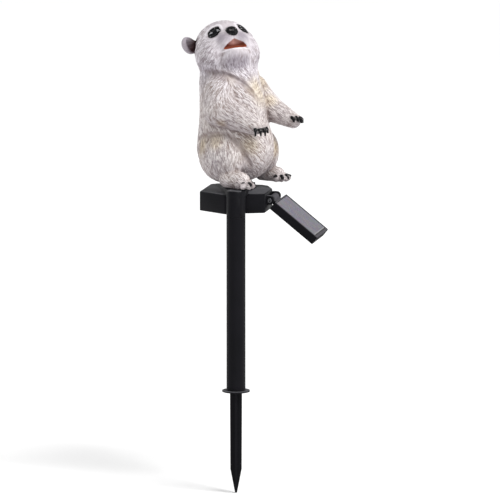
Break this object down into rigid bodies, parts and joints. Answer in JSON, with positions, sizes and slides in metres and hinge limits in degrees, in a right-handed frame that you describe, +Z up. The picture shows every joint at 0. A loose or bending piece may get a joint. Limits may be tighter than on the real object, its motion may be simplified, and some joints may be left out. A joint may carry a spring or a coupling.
{
  "type": "solar garden stake statue",
  "caption": "Bear cub statue with open arms on a black solar lamp housing, with a tilting solar panel, a tube and a ground spike.",
  "frame": {"origin": "ground level on the stake's axis, at the underside of the spike's flange", "axes": "+X towards the solar panel, +Y along the panel hinge to the back, +Z up along the stake"},
  "size_m": [0.1212, 0.095, 0.3939],
  "materials": {
    "painted_resin": "cast resin with carved fur, off-white paint with a grey and ochre wash in the grooves",
    "eye_lens": "glossy dark lens",
    "black_plastic": "satin black moulded plastic",
    "stake_plastic": "satin near-black plastic",
    "screw_steel": "blackened steel",
    "cell_glass": "grey-lavender solar cell under a clear face"
  },
  "bodies": {
    "root": {"bear_figure": "painted_resin", "eye_left": "eye_lens", "eye_right": "eye_lens", "lamp_housing": "black_plastic", "housing_cover": "black_plastic", "stake_tube": "stake_plastic", "ground_spike": "stake_plastic", "hinge_screw": "screw_steel"},
    "solar_panel": {"panel_case": "black_plastic", "solar_cell": "cell_glass"}
  },
  "joints": [
    {"name": "panel_tilt", "type": "hinge", "parent": "root", "child": "solar_panel", "pos_m": [0.0236, 0.0389, 0.1593], "axis": [0, 1, 0], "range_deg": [-48, 12]}
  ]
}
